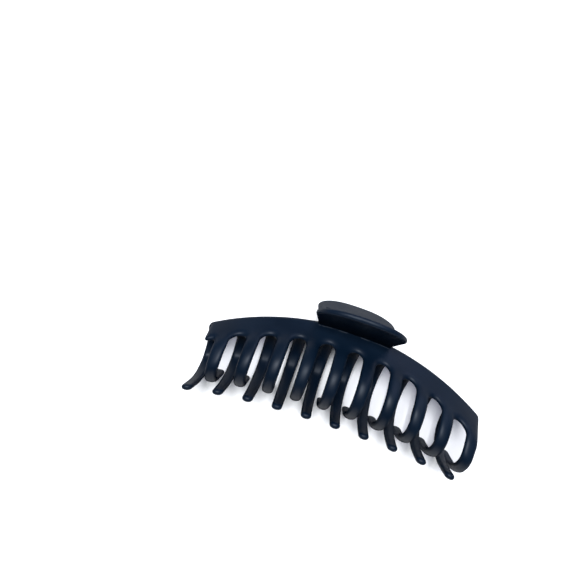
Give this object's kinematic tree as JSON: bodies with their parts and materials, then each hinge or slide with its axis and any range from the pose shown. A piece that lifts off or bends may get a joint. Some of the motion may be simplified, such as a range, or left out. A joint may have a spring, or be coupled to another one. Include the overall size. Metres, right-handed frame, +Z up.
{
  "type": "claw clip",
  "caption": "Claw clip with two arched, toothed jaws that interleave, fan-shaped thumb plates, a hinge pin and a torsion spring.",
  "frame": {"origin": "on the surface that the clip lies on, under the middle of its bounding box", "axes": "+Z up; +X along the row of teeth and the hinge pin; +Y towards the thumb plates, with the clip lying on its side"},
  "size_m": [0.1098, 0.058, 0.0637],
  "materials": {
    "jaw_plastic": "soft-touch matte, blue-black",
    "pin_steel": "plain bright steel",
    "spring_steel": "drawn spring wire"
  },
  "bodies": {
    "lower_jaw": {"lower_jaw": "jaw_plastic", "hinge_pin": "pin_steel", "torsion_spring": "spring_steel"},
    "upper_jaw": {"upper_jaw": "jaw_plastic"}
  },
  "joints": [
    {"name": "jaw_hinge", "type": "hinge", "parent": "lower_jaw", "child": "upper_jaw", "pos_m": [0, 0.01633, 0.03108], "axis": [-1, 0, 0], "range_deg": [0, 110], "stiffness_Nm_per_rad": 0.08, "springref_deg": -57.3, "deforming": ["torsion_spring"]}
  ]
}
